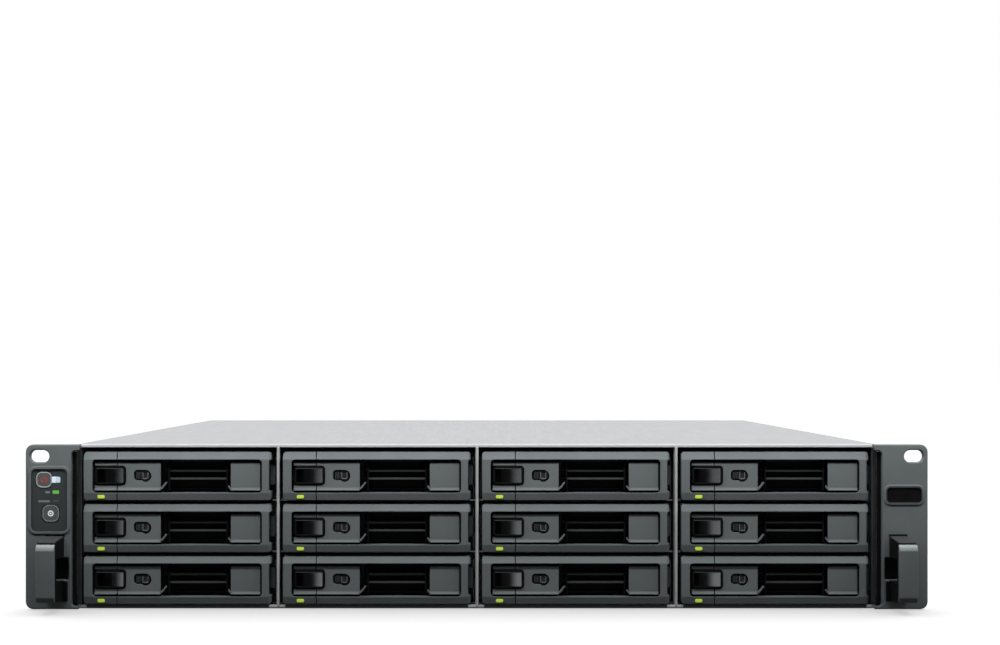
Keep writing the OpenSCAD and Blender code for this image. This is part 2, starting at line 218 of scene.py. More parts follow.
def weighted(mesh):
    """The mesh with its normals weighted by face area, so flat faces look flat up to their rounded edges."""
    holder = added("weighted", mesh)
    modifier = holder.modifiers.new("normals", "WEIGHTED_NORMAL")
    modifier.keep_sharp = True
    graph = bpy.context.evaluated_depsgraph_get()
    result = bpy.data.meshes.new_from_object(
        holder.evaluated_get(graph), preserve_all_data_layers=True, depsgraph=graph)
    bpy.data.objects.remove(holder)
    return result


def dressed(meshes, finish):
    """(mesh, material) pairs that share a material."""
    return [(mesh, finish) for mesh in meshes]


def joined(parts, sharp=34):
    """One mesh from (mesh, material) pairs, shaded smooth up to an angle."""
    bm, materials = bmesh.new(), []
    for mesh, material in parts:
        if material not in materials:
            materials.append(material)
        before = len(bm.faces)
        bm.from_mesh(mesh)
        bm.faces.ensure_lookup_table()
        for face in bm.faces[before:]:
            face.material_index = materials.index(material)
            face.smooth = True
    mesh = finished(bm)
    for material in materials:
        mesh.materials.append(material)
    mesh.set_sharp_from_angle(angle=math.radians(sharp))
    return weighted(mesh)


def place(name, mesh, body, slot, replaces=(), at=(0, 0, 0)):
    """The mesh as a named piece of the object that rides on a body."""
    piece = added(name, mesh)
    piece.location = Vector(at) * MM
    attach(piece, body)
    if replaces:
        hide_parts(*replaces)
    return piece


# ---------------- materials

def put(node, values):
    """Sets inputs of a shader node by name."""
    for name, value in values.items():
        node.inputs[name].default_value = value
    return node


def material(name, colour, roughness, metallic=0.0, specular=0.5, coat=0.0):
    """A new material, with its node tree and its shader."""
    made = bpy.data.materials.new(name)
    made.use_nodes = True
    shader = made.node_tree.nodes["Principled BSDF"]
    put(shader, {"Base Color": (*colour, 1), "Roughness": roughness, "Metallic": metallic})
    put(shader, {"Specular IOR Level": specular, "Coat Weight": coat})
    return made, made.node_tree, shader


def noise(tree, scale, detail, stretch=(1, 1, 1)):
    """Noise in the object's own space; scale is in cells per metre."""
    where = tree.nodes.new("ShaderNodeTexCoord")
    mapping = put(tree.nodes.new("ShaderNodeMapping"), {"Scale": stretch})
    texture = put(tree.nodes.new("ShaderNodeTexNoise"), {"Scale": scale, "Detail": detail})
    tree.links.new(where.outputs["Object"], mapping.inputs["Vector"])
    tree.links.new(mapping.outputs["Vector"], texture.inputs["Vector"])
    return texture.outputs["Fac"]


def ramp(tree, value, dark, light, low=0.3, high=0.7):
    """Colour between dark and light as value goes from low to high."""
    node = tree.nodes.new("ShaderNodeValToRGB")
    node.color_ramp.elements[0].position = low
    node.color_ramp.elements[1].position = high
    node.color_ramp.elements[0].color = (*dark, 1)
    node.color_ramp.elements[1].color = (*light, 1)
    tree.links.new(value, node.inputs["Fac"])
    return node.outputs["Color"]


def spread(tree, value, low, high):
    """Value stretched from 0.3..0.7 to low..high."""
    node = tree.nodes.new("ShaderNodeMapRange")
    put(node, {"From Min": 0.3, "From Max": 0.7, "To Min": low, "To Max": high})
    tree.links.new(value, node.inputs["Value"])
    return node.outputs["Result"]


def bump(tree, shader, height, distance):
    """Relief of the surface; distance is its depth in metres."""
    node = put(tree.nodes.new("ShaderNodeBump"), {"Strength": 1.0, "Distance": distance})
    tree.links.new(height, node.inputs["Height"])
    tree.links.new(node.outputs["Normal"], shader.inputs["Normal"])


def shade(colour, factor):
    return tuple(c * factor for c in colour)


def moulded(name, colour, roughness, specular=0.4):
    """Moulded plastic with a fine spark-eroded grain, faint mottling and uneven gloss."""
    made, tree, shader = material(name, colour, roughness, specular=specular)
    mottle = noise(tree, 60, 4)
    tree.links.new(ramp(tree, mottle, shade(colour, 0.93), shade(colour, 1.07)), shader.inputs["Base Color"])
    fine = noise(tree, 1500, 3)
    tree.links.new(spread(tree, fine, roughness - 0.08, roughness + 0.1), shader.inputs["Roughness"])
    bump(tree, shader, fine, 0.00006)
    return made


def sheet_metal(name, colour, roughness, metallic=1.0, spangle=0.06):
    """Zinc-coated sheet: soft crystal patches, rolling lines and uneven gloss."""
    made, tree, shader = material(name, colour, roughness, metallic=metallic)
    where = tree.nodes.new("ShaderNodeTexCoord")
    cells = put(tree.nodes.new("ShaderNodeTexVoronoi"), {"Scale": 110})
    tree.links.new(where.outputs["Object"], cells.inputs["Vector"])
    level = tree.nodes.new("ShaderNodeRGBToBW")
    tree.links.new(cells.outputs["Color"], level.inputs["Color"])
    patches = level.outputs["Val"]
    tint = ramp(tree, patches, shade(colour, 1 - spangle), shade(colour, 1 + spangle), 0.1, 0.9)
    tree.links.new(tint, shader.inputs["Base Color"])
    lines = noise(tree, 500, 3, stretch=(1, 0.02, 1))
    tree.links.new(spread(tree, lines, roughness - 0.06, roughness + 0.1), shader.inputs["Roughness"])
    bump(tree, shader, lines, 0.00001)
    return made


def glossy(name, colour, roughness, metallic=0.0, specular=0.5):
    """Polished plastic or lacquer with faint haze and dust."""
    made, tree, shader = material(name, colour, roughness, metallic=metallic, specular=specular)
    haze = noise(tree, 140, 4)
    tree.links.new(spread(tree, haze, roughness * 0.8, roughness * 1.35), shader.inputs["Roughness"])
    tree.links.new(ramp(tree, haze, shade(colour, 0.9), shade(colour, 1.1)), shader.inputs["Base Color"])
    bump(tree, shader, noise(tree, 400, 2), 0.000004)
    return made


def lamp(name, colour, strength):
    """Light pipe: a lit core seen through slightly cloudy plastic."""
    made, tree, shader = material(name, colour, 0.35)
    cloud = noise(tree, 700, 3)
    tint = ramp(tree, cloud, shade(colour, 0.82), colour)
    tree.links.new(tint, shader.inputs["Base Color"])
    tree.links.new(tint, shader.inputs["Emission Color"])
    tree.links.new(spread(tree, cloud, 0.28, 0.42), shader.inputs["Roughness"])
    bump(tree, shader, cloud, 0.00001)
    put(shader, {"Emission Strength": strength})
    return made


def circuit_board(name):
    """Solder mask with copper tracks showing through as lighter lines."""
    colour = (0.012, 0.075, 0.03)
    made, tree, shader = material(name, colour, 0.35, coat=0.2)
    where = tree.nodes.new("ShaderNodeTexCoord")
    tracks = put(tree.nodes.new("ShaderNodeTexBrick"), {"Scale": 60, "Mortar Size": 0.03})
    put(tracks, {"Color1": (*colour, 1), "Color2": (*shade(colour, 1.25), 1)})
    put(tracks, {"Mortar": (0.03, 0.16, 0.06, 1)})
    tree.links.new(where.outputs["Object"], tracks.inputs["Vector"])
    tree.links.new(tracks.outputs["Color"], shader.inputs["Base Color"])
    tree.links.new(spread(tree, noise(tree, 90, 3), 0.28, 0.45), shader.inputs["Roughness"])
    bump(tree, shader, tracks.outputs["Fac"], 0.00003)
    return made


BEZEL = moulded("bezel_plastic", (0.125, 0.14, 0.143), 0.46)
EAR = moulded("ear_plastic", (0.12, 0.135, 0.137), 0.48)
HANDLE = moulded("handle_plastic", (0.15, 0.17, 0.175), 0.42)
# Lighter copy of the handle grey: a painted highlight for the grip's top chamfer.
HANDLE_HIGHLIGHT = moulded("handle_painted_highlight", (0.3, 0.33, 0.33), 0.3)
ARM = moulded("handle_arm", (0.05, 0.053, 0.055), 0.45)
PANEL = moulded("panel_plastic", (0.04, 0.047, 0.049), 0.4)
# Near-black plastic; most pieces in it are painted shade, laid in hollows and gaps and behind openings.
DARK = moulded("black_plastic_and_painted_shade", (0.006, 0.006, 0.0065), 0.6, specular=0.12)
# Dark grey plastic, made darker still as painted shade for the depth of the vent.
LOUVRE = moulded("louvre_plastic", (0.05, 0.054, 0.055), 0.45)
TRIM = moulded("trim_plastic", (0.02, 0.02, 0.021), 0.38)
BUTTON = glossy("release_gloss", (0.26, 0.27, 0.275), 0.2, metallic=1.0)
BADGE = glossy("badge_gloss", (0.004, 0.004, 0.0045), 0.12, specular=0.12)
COVER = sheet_metal("cover_sheet", (0.62, 0.63, 0.64), 0.42, metallic=0.35, spangle=0.025)
STEEL = sheet_metal("cage_sheet", (0.5, 0.51, 0.52), 0.35, metallic=0.6)
EDGE_STEEL = sheet_metal("folded_edge", (0.5, 0.51, 0.51), 0.4, metallic=0.3)
ZINC = sheet_metal("screw_zinc", (0.5, 0.5, 0.5), 0.28)
ALUMINIUM = sheet_metal("cast_aluminium", (0.55, 0.56, 0.57), 0.45, spangle=0.03)
BOARD = circuit_board("board_green")
BLACK = moulded("black_plastic", (0.014, 0.014, 0.015), 0.45, specular=0.25)
LATCH = moulded("latch_plastic", (0.25, 0.02, 0.015), 0.4)
RING_PALE = moulded("button_ring_pale", (0.34, 0.35, 0.34), 0.4)
RING_DIM = moulded("button_ring_dim", (0.2, 0.2, 0.21), 0.4)
CAP = moulded("button_cap", (0.09, 0.1, 0.1), 0.42)
RED = lamp("power_icon", (0.3, 0.06, 0.045), 0.2)
WHITE_ICON = lamp("white_icon", (0.7, 0.72, 0.74), 0.3)
KEY_GREY = moulded("key_way", (0.16, 0.165, 0.165), 0.35)
GREY_MARK = moulded("grey_mark", (0.2, 0.21, 0.21), 0.5)
STATUS_WHITE = lamp("status_white", (0.62, 0.65, 0.78), 0.45)
STATUS_BLUE = lamp("status_blue", (0.42, 0.6, 0.64), 0.4)
LED_GREEN = lamp("led_green", (0.1, 0.36, 0.05), 0.6)
LED_DRIVE = lamp("led_drive", (0.42, 0.6, 0.05), 0.45)
GOLD = glossy("contact_gold", (0.75, 0.5, 0.16), 0.25, metallic=1.0)
USB_BLUE = moulded("usb_blue", (0.02, 0.07, 0.3), 0.4)
LED_OFF = moulded("led_off", (0.07, 0.075, 0.075), 0.3)


# ---------------- camera, light and floor

# The floor's reach and drop are in metres; the camera's places and lens are in millimetres.
CAMERA_BACK = 1313
CAMERA_UP = 126.6
CAMERA_SHIFT = (0.0233, 0.05)
FOCAL = 88.4
SENSOR = 36
FLOOR_REACH = 30
FLOOR_DROP = 0.0003


def add_camera():
    """Level camera in front of the case, a little higher than its top."""
    data = bpy.data.cameras.new("camera")
    data.lens, data.sensor_width = FOCAL, SENSOR
    data.shift_x, data.shift_y = CAMERA_SHIFT
    data.clip_start, data.clip_end = 0.01, 100
    camera = added("camera", data)
    camera.location = Vector((0, FACE_Y - CAMERA_BACK, CAMERA_UP)) * MM
    camera.rotation_euler = (math.radians(90), 0, 0)
    bpy.context.scene.camera = camera


def add_floor():
    """Pale floor, a hair below the case, which neither reflects it nor gets light from it."""
    mesh = bpy.data.meshes.new("floor")
    reach = FLOOR_REACH
    mesh.from_pydata([(x, y, 0) for x, y in rect(-reach, -reach, reach, reach)], [], [(0, 1, 2, 3)])
    floor = added("floor", mesh)
    floor.location.z = -FLOOR_DROP
    pale, tree, shader = material("floor_pale", (0.86, 0.86, 0.86), 0.8, specular=0.1)
    tint = ramp(tree, noise(tree, 3, 3), (0.85, 0.85, 0.85), (0.87, 0.87, 0.87))
    tree.links.new(tint, shader.inputs["Base Color"])
    put(shader, {"Emission Color": (1, 1, 1, 1), "Emission Strength": 0.5})
    mesh.materials.append(pale)
    floor.visible_diffuse = False
    floor.visible_glossy = False
    return floor


def softbox(name, centre, aim, size, power):
    """Rectangular light that the camera doesn't see; places and sizes are in metres."""
    light = bpy.data.lights.new(name, "AREA")
    light.shape, light.size, light.size_y = "RECTANGLE", size[0], size[1]
    light.energy = power
    holder = added(name, light)
    holder.location = centre
    holder.rotation_euler = (Vector(aim) - Vector(centre)).to_track_quat("-Z", "Y").to_euler()
    holder.visible_camera = False
    return holder


def studio():
    """Camera, floor and two lights; also gives the group of pieces that the front strip leaves out."""
    add_camera()
    floor = add_floor()
    face = FACE_Y * MM
    softbox("overhead", (0, 0.3, 2.0), (0, 0.3, 0), (2.5, 2.0), 9)
    strip = softbox("front_strip", (0, face - 0.095, 0.215), (0, face, 0.2), (1.1, 0.03), 2.4)
    strip.visible_glossy = False
    skipped = bpy.data.collections.new("not_lit_by_front_strip")
    strip.light_linking.receiver_collection = skipped
    return floor, skipped


def unlit_by_strip(holder):
    """The front strip leaves this piece out, as a black flag beside the light would."""
    NOT_LIT.objects.link(holder)
    NOT_LIT.collection_objects[-1].light_linking.link_state = "EXCLUDE"


def surroundings():
    """World light: white to the camera; in reflections a wall behind, a soft ceiling and a table in front."""
    world = bpy.data.worlds.new("studio")
    bpy.context.scene.world = world
    world.use_nodes = True
    nodes, links = world.node_tree.nodes, world.node_tree.links
    where = nodes.new("ShaderNodeTexCoord")
    split = nodes.new("ShaderNodeSeparateXYZ")
    links.new(where.outputs["Generated"], split.inputs["Vector"])

    def slope(output, start, end, first, last):
        node = nodes.new("ShaderNodeMapRange")
        node.interpolation_type = "SMOOTHSTEP"
        put(node, {"From Min": start, "From Max": end, "To Min": first, "To Max": last})
        links.new(output, node.inputs["Value"])
        return node.outputs["Result"]

    def combine(operation, first, second):
        node = nodes.new("ShaderNodeMath")
        node.operation = operation
        links.new(first, node.inputs[0])
        links.new(second, node.inputs[1])
        return node.outputs["Value"]

    x, y, z = split.outputs["X"], split.outputs["Y"], split.outputs["Z"]
    behind = combine("MULTIPLY", slope(y, -0.15, 0.35, 0.0, 1.0), slope(z, -0.12, 0.02, 0.12, 1.0))
    above = slope(z, 0.3, 0.95, 0.015, 0.55)
    table = slope(z, -0.062, -0.088, 0.16, 1.0)
    for limit in ((z, -0.4, -0.15, 0.0, 1.0), (z, 0.02, 0.12, 1.0, 0.0),
                  (y, -0.5, -0.9, 0.0, 0.9), (x, -0.5, -0.1, 0.0, 1.0)):
        table = combine("MULTIPLY", table, slope(*limit))
    lit = combine("MAXIMUM", combine("MAXIMUM", behind, above), table)
    seen = nodes.new("ShaderNodeLightPath")
    links.new(combine("MAXIMUM", lit, seen.outputs["Is Camera Ray"]), nodes["Background"].inputs["Color"])
    nodes["Background"].inputs["Strength"].default_value = 1.0
    bpy.context.scene.view_settings.view_transform = "Standard"


FLOOR, NOT_LIT = studio()
unlit_by_strip(FLOOR)
surroundings()


# ---------------- carried-over CAD nodes

def dress(names, finish):
    """Gives CAD nodes their material."""
    for name in names:
        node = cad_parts[name]
        node.data.materials.clear()
        node.data.materials.append(finish)


dress(["chassis_base", "drive_cage", "rear_panel"], STEEL)
dress(["backplane", "mainboard"], BOARD)
dress(["heatsink"], ALUMINIUM)
dress(["fan_bracket", "fan_rotor_01", "fan_rotor_02", "fan_rotor_03"], BLACK)
dress(["psu_latch_01", "psu_latch_02"], LATCH)


# ---------------- tray bezel

# Sizes of a tray are measured from the lower left front corner of its bezel. A box is (x0, z0, x1, z1).
WINDOW = (4.6, 4.1, 95.5, 21.9)
BAND_TOP = 2.8
BAND_LOW = 1.1
END_X = 100.6
END_R = 2.2
PANEL_LEFT = (5.7, 41.1)
PANEL_RIGHT = (78.7, 94.6)
PANEL_Z = (5.4, 20.2)
PANEL_Y = 1.9
PANEL_T = 1.6
PANEL_DEEP = (PANEL_Y, PANEL_Y + PANEL_T)
FILLET_TOP = 7.0
VENT = (PANEL_LEFT[1], PANEL_RIGHT[0])
POCKET = (5.4, 8.1, 22.5, 18.6)
LOCK = (26.7, 10.2, 36.2, 16.3)
KEY = (32.8, 13.0)
ROOM_Z = (4.1, 22.1)
WALL_Z = (5.1, 21.6)
BACKING_Y = (3.9, 4.7)
PLATE_Y = (14, 15.5)


def cut(bm, where, normal, clear=False):
    """Cuts the mesh along a plane; clear removes what lies on the normal's side."""
    everything = bm.verts[:] + bm.edges[:] + bm.faces[:]
    bmesh.ops.bisect_plane(
        bm, geom=everything, plane_co=Vector(where) * MM, plane_no=normal, clear_outer=clear, dist=1e-7)


def set_back(z):
    """How far the bezel's face slopes back at a height: flat across the window, sloped above and below it."""
    low, high = WINDOW[1], WINDOW[3]
    if z > high:
        return BAND_TOP * (z - high) / (BEZEL_H - high)
    return BAND_LOW * (low - z) / low if z < low else 0.0


def bezel_face():
    """The bezel's frame: sloped bands above and below the window, with a notched, rounded hinge end."""
    notch = [(END_X, 4.6), (END_X - 1.3, 5.4), (END_X - 1.3, 21.2), (END_X, 22.0)]
    outline = rect(0, 0, END_X, BEZEL_H, 1.7)
    half = len(outline) // 4
    outline = outline[:half] + notch + outline[half:]
    mesh = plate([outline, rect(*WINDOW, 2.0)], 0, LEVER_D, 0.32, rings=3)
    bm = bmesh.new()
    bm.from_mesh(mesh)
    low, high = WINDOW[1], WINDOW[3]
    for z in (0.9, 2.6, low - 0.45, low, low + 0.45, high - 0.45, high, high + 0.45, 24.0, BEZEL_H - 0.9):
        cut(bm, (0, 0, z), (0, 0, 1))
    for k in range(1, 8):
        cut(bm, (END_X - END_R * (1 - math.sin(math.radians(12.5 * k))), 0, 0), (1, 0, 0))
    cut(bm, (END_X - END_R, 0, 0), (1, 0, 0))
    for v in bm.verts:
        depth = v.co.y / MM
        back = set_back(v.co.z / MM)
        past = min(v.co.x / MM - (END_X - END_R), END_R)
        if past > 0:
            back += END_R - math.sqrt(END_R ** 2 - past ** 2)
        v.co.y += back * (1 - depth / LEVER_D) * MM
    return bm


def half_bezel(keep_left):
    """The part of the frame on one side of the seam, closed where it is cut."""
    bm = bezel_face()
    x = POST_W if keep_left else POST_W + SEAM
    cut(bm, (x, 0, 0), (1, 0, 0) if keep_left else (-1, 0, 0), clear=True)
    rim = [e for e in bm.edges if e.is_boundary]
    bmesh.ops.holes_fill(bm, edges=rim, sides=0)
    bmesh.ops.recalc_face_normals(bm, faces=bm.faces[:])
    return finished(bm)


def fillet(x0, x1):
    """Foot of a panel that curves out to the viewer and catches the light from above."""
    y, low, top = PANEL_Y, PANEL_Z[0], FILLET_TOP
    turn = [math.radians(k * 15) for k in range(7)]
    curve = [(y - 1.35 * math.sin(a) ** 2, top - (top - low) * math.sin(a)) for a in turn]
    profile = [(y + PANEL_T, low)] + curve[::-1] + [(y + PANEL_T, top)]
    return plate([profile], x0, x1, bevel=0.12, plane="YZ")


def tail(x, turn, size=1.0):
    """Rib that carries a panel's foot up and out into the vent; turn is 1 to the right and -1 to the left."""
    steps = [k / 6 for k in range(7)]
    low, top = PANEL_Z[0], PANEL_Z[0] + 1.35
    outer = [(x + turn * size * 3.8 * t, low + size * 4.1 * t ** 1.5) for t in steps]
    inner = [(x + turn * size * 3.05 * t, top + size * 3.2 * t ** 1.4) for t in reversed(steps)]
    loop = outer + inner
    return plate([loop if turn > 0 else loop[::-1]], 0.9, 3.4, bevel=0.25)


def strips_round_pocket(x0, x1):
    """Inner panel above and below the button's pocket, from the post's left edge to the seam."""
    top = plate([rect(x0, POCKET[3], x1, PANEL_Z[1], 0.2)], *PANEL_DEEP, 0.15)
    low = plate([rect(x0, FILLET_TOP - 0.1, x1, POCKET[1], 0.1)], *PANEL_DEEP, 0.08)
    return [top, low, fillet(x0, x1)]


def lock_loop():
    """Opening of the key lock: a slot for the shutter that runs into a round hole for the barrel."""
    x, z = KEY
    x0, z0, z1 = LOCK[0], LOCK[1] + 0.5, LOCK[3]
    loop = [(x - 1.6, z0), (x - 1.6, z - 2.6)] + arc(x, z + 0.1, 3.25, -105, 210, 14)
    loop += [(x - 1.8, z1), (x0 + 1.6, z1), (x0 + 0.5, z1 - 0.5), (x0, z1 - 1.6)]
    return loop + [(x0, z0 + 1.5), (x0 + 0.5, z0 + 0.5), (x0 + 1.6, z0)]


def panel_left():
    """Left inner panel from the seam on, cut out round the button's pocket and the lock."""
    x0, x1 = POST_W + SEAM, PANEL_LEFT[1]
    right, low, top, r = POCKET[2], POCKET[1], POCKET[3], 1.9
    loop = [(x0, FILLET_TOP - 0.1), (x1, FILLET_TOP - 0.1), (x1, PANEL_Z[1]), (x0, PANEL_Z[1]), (x0, top)]
    loop += arc(right - r, top - r, r, 90, -90, 6) + arc(right - r, low + r, r, 0, -90, 6)
    loop += [(x0, low)]
    return [plate([loop, lock_loop()], *PANEL_DEEP, 0.12), fillet(x0, x1)]


def panel_right():
    """Right inner panel, above its foot."""
    x0, x1 = PANEL_RIGHT
    return plate([rect(x0, FILLET_TOP - 0.1, x1, PANEL_Z[1], 0.7)], *PANEL_DEEP, 0.25)


def backing(x0, x1):
    """Near-black sheet behind a panel, painted shade in the groove round it."""
    return plate([rect(x0, ROOM_Z[0], x1, ROOM_Z[1])], *BACKING_Y, 0.1)


def vent_wall(x0, x1, y, bevel):
    """Near-black wall beside the vent, painted shade, from y to the lever's back."""
    return block((x0, y, WALL_Z[0]), (x1, LEVER_D, WALL_Z[1]), bevel)


def lever_core():
    """Inside of the lever, near-black as painted shade: backings, walls beside the vent, hinge block and
    hinge barrel.
    """
    seam, pocket = POST_W + SEAM, POCKET[2] + 0.4
    barrel = [(0, 4.6), (3.4, 4.6), (3.7, 4.9), (3.7, 21.7), (3.4, 22.0), (0, 22.0)]
    return [
        backing(POCKET[2] + 0.3, PANEL_LEFT[1]),
        backing(PANEL_RIGHT[0], 95.9),
        block((seam, 3.6, ROOM_Z[0]), (pocket, BACKING_Y[1], 7.9), 0.1),
        block((seam, 3.6, 19.0), (pocket, BACKING_Y[1], ROOM_Z[1]), 0.1),
        vent_wall(VENT[0] - 1.0, VENT[0] + 0.1, 2.6, 0.1),
        vent_wall(VENT[1] - 0.1, VENT[1] + 1.0, 2.6, 0.1),
        vent_wall(45.0, 45.8, 3.6, 0.2),
        vent_wall(76.2, 77.0, 3.6, 0.2),
        block((END_X - 4.0, 3.0, 4.9), (END_X - 1.0, 8.4, 21.8), 0.8),
        spin(barrel, HINGE, "Z", 24),
    ]


def lever_mesh():
    """Swinging lever: the bezel from the seam on, with its panels, ribs and louvres."""
    ribs = [tail(PANEL_LEFT[1] - 0.3, 1), tail(PANEL_RIGHT[0] + 0.3, -1, 0.45)]
    grey = [half_bezel(False)] + ribs + [fillet(*PANEL_RIGHT)] + panel_left() + [panel_right()]
    # The louvres' dark grey is partly painted shade for their depth inside the vent.
    louvres = [block((45.3, 4.9, z), (76.5, 8.5, z + 1.1), 0.3) for z in (10.9, 15.2)]
    return joined(dressed(grey, BEZEL) + dressed(louvres, LOUVRE) + dressed(lever_core(), DARK))


def post_mesh():
    """Fixed post of the tray with the left end of the bezel, and a near-black pad of painted shade behind the
    button's pocket.
    """
    grey = [half_bezel(True), block((0, 9.9, 0), (POST_W, PLATE_Y[0], BEZEL_H), 0.3)]
    grey += strips_round_pocket(PANEL_LEFT[0], POST_W)
    pad = block((4.4, 9.6, ROOM_Z[0]), (POST_W, 10.2, ROOM_Z[1]), 0.1)
    return joined(dressed(grey, BEZEL) + [(pad, DARK)])


def front_plate_mesh():
    """The sled's front plate with its air slots, seen deep in the vent."""
    slots = [rect(43, low, 86, top) for low, top in ((6.2, 10.9), (12.0, 15.1), (16.2, 20.4))]
    # The shield behind the slots is near-black painted shade that keeps the vent dark.
    shield = block((42, 15.4, 5.6), (87, 18, 21), 0.3)
    hinge_post = block((97.4, 10.6, 7.9), (102.2, 14.2, 19), 0.5)
    face = plate([rect(-1.2, 0.3, 102.2, 26.3, 0.6)] + slots, *PLATE_Y, 0.2)
    return joined([(face, BLACK), (shield, DARK), (hinge_post, EAR)])


RAIL_T = 0.9
LUG_T = 3
LUG_Z = (1.2, 22.4)
DRIVE_LOW = (-0.3, 22, 0.3)
DRIVE_HIGH = (101.3, 169, 26.4)


def rail(x):
    """Side rail of the sled, with its slots and the holes for the drive's screws."""
    holes = [rect(40, 4, 70, 9, 2), rect(90, 4, 130, 9, 2), disc(52, 17, 1.7), disc(110, 17, 1.7)]
    return plate([rect(14, 0.3, 166, 24, 1.0)] + holes, x, x + RAIL_T, 0.15, plane="YZ")


def lug(z):
    """Round end of the arm that holds the lever's pin."""
    return spin([(0, z), (2.6, z), (2.6, z + LUG_T), (0, z + LUG_T)], HINGE, "Z", 20)


def sled_mesh():
    """Sled: two side rails, a tongue across under the drive, and the arms, lugs and pin of the lever."""
    middle, side = BEZEL_W / 2, SLED_W / 2
    steel = [rail(middle - side), rail(middle + side - RAIL_T)]
    steel.append(block((middle - side, 15.5, 0.3), (middle + side, 21.8, 1.3), 0.15))
    steel += [block((HINGE_X - 7, LEVER_R, z), (HINGE_X, PLATE_Y[0], z + LUG_T), 0.2) for z in LUG_Z]
    pin = spin([(0, 1), (1, 1), (1, 25.6), (0, 25.6)], HINGE, "Z", 16)
    return joined(dressed(steel, STEEL) + dressed([lug(z) for z in LUG_Z], BLACK) + [(pin, ZINC)])


def drive_mesh():
    """Hard drive: cast frame, stamped lid with a rim, motor boss, and a board on its underside."""
    x0, y0, z0 = DRIVE_LOW
    x1, y1, z1 = DRIVE_HIGH
    body = plate([rect(x0, y0, x1, y1, 3)], z0 + 2.2, z1 - 1.4, 0.5, plane="XY")
    lid = plate([rect(x0 + 2.5, y0 + 3, x1 - 2.5, y1 - 3, 7)], z1 - 1.6, z1, 0.5, plane="XY")
    raised = [(0, z1 - 0.15), (22, z1 - 0.15), (22.6, z1 - 0.02), (24, z1 - 0.02), (24.5, z1 - 0.5)]
    boss = spin(raised, (BEZEL_W / 2, 75, 0), "Z", 48)
    board = block((x0 + 6, y0 + 30, z0), (x1 - 6, y1, z0 + 2.3), 0.2)
    plug = block((x0 + 8, y1 - 7, z0 + 2), (x0 + 42, y1, z0 + 7), 0.3)
    return joined([(body, ALUMINIUM), (lid, STEEL), (boss, STEEL), (board, BOARD), (plug, BLACK)])


def scoop(x0, z0, x1, z1):
    """Block under the button's polished face, which is deepest at its left end."""
    bm = bmesh.new()
    columns, back = 20, 6.85
    rows = []
    for c in range(columns + 1):
        t = c / columns
        x = x0 - 0.3 + (x1 - x0 + 0.6) * t
        y = 1.7 + 4.6 * (1 - t) ** 2.2 * (1 - 0.12 * max(0, 1 - t / 0.3) ** 2)
        ring = ((y, z0 - 0.3), (y, z1 + 0.3), (back, z1 + 0.3), (back, z0 - 0.3))
        rows.append([bm.verts.new(Vector((x, depth, z)) * MM) for depth, z in ring])
    for a, b in zip(rows, rows[1:]):
        for k in range(4):
            j = (k + 1) % 4
            bm.faces.new((a[k], a[j], b[j], b[k]))
    bm.faces.new(rows[0])
    bm.faces.new(rows[-1][::-1])
    bmesh.ops.recalc_face_normals(bm, faces=bm.faces[:])
    return finished(bm)


def release_mesh():
    """Push button: a matt frame round a deep polished scoop that opens to the right."""
    face = (POCKET[0] + 0.3, POCKET[1] + 0.4, POCKET[2] - 0.4, POCKET[3] - 0.4)
    hollow = (face[0] + 1.4, face[1] + 1.0, face[2] - 1.0, face[3] - 1.0)
    left, right, top = hollow[0], hollow[2], hollow[3]
    # Frame and body are near-black: black plastic, and painted shade in the gap round the scoop.
    rim = plate([rect(*face, 1.9), rect(*hollow, 0.5)], 1.1, 6.9, 0.4, rings=3)
    body = plate([rect(*grown(face, -0.1), 1.8)], 6.7, 7.5, 0.2)
    lip = block((left - 0.2, 0.95, top - 0.35), (right + 0.1, 1.9, top + 0.05), 0.12)
    return joined([(rim, DARK), (body, DARK), (lip, LOUVRE), (scoop(*hollow), BUTTON)], 50)


def lock_mesh():
    """Key lock: a barrel with a square key way, beside a sliding shutter."""
    x, z = KEY
    # The cup behind the opening is near-black painted shade.
    cup = plate([rect(LOCK[0] - 0.3, LOCK[1] - 0.6, LOCK[2] + 0.3, LOCK[3] + 0.3, 1.2)], 3.2, 3.8, 0.1)
    barrel = spin([(0, 3.0), (1.9, 3.0), (2.0, 2.6), (2.45, 2.45), (2.55, 3.3)], (x, 0, z + 0.2))
    key_way = [block((x - 1.5, 2.2, z - 1.6), (x + 1.6, 3.0, z - 1.15), 0.1)]
    for side in (-1.5, 1.25):
        key_way.append(block((x + side, 2.2, z - 1.6), (x + side + 0.35, 3.0, z + 1.9), 0.1))
    ribs = [block((x - 4.9 + k * 0.8, 2.6, 11.6), (x - 4.4 + k * 0.8, 3.3, 15.3), 0.12) for k in range(5)]
    return joined([(cup, DARK), (barrel, TRIM)] + dressed(key_way, KEY_GREY) + dressed(ribs, PANEL))


def led_mesh():
    """Status light at the foot of the post."""
    lens = plate([rect(7.4, 1.0, 11.3, 3.0, 0.7)], 0.25, 4.0, 0.25)
    return joined([(lens, LED_DRIVE)])


def build_bays():
    """Places the pieces of each tray; the twelve trays share their meshes."""
    pieces = (
        ("tray_post", post_mesh(), "tray", "tray_plastic", "drive_tray"),
        ("tray_front_plate", front_plate_mesh(), "tray", "black_plastic", None),
        ("tray_sled", sled_mesh(), "tray", "steel", None),
        ("hard_drive", drive_mesh(), "tray", "aluminium", None),
        ("status_light", led_mesh(), "tray", "tray_plastic", None),
        ("lever_frame", lever_mesh(), "lever", "bezel_plastic", "tray_lever"),
        ("key_lock", lock_mesh(), "lever", "black_plastic", None),
        ("release", release_mesh(), "release", "gloss_black", "release_button"),
    )
    for i in range(1, TRAYS + 1):
        at = bay_origin(i)
        for name, mesh, body, slot, node in pieces:
            replaced = [number(node, i)] if node else ()
            place(number(name, i), mesh, number(body, i), slot, replaced, at)


build_bays()


# ---------------- ears, handles and front panel

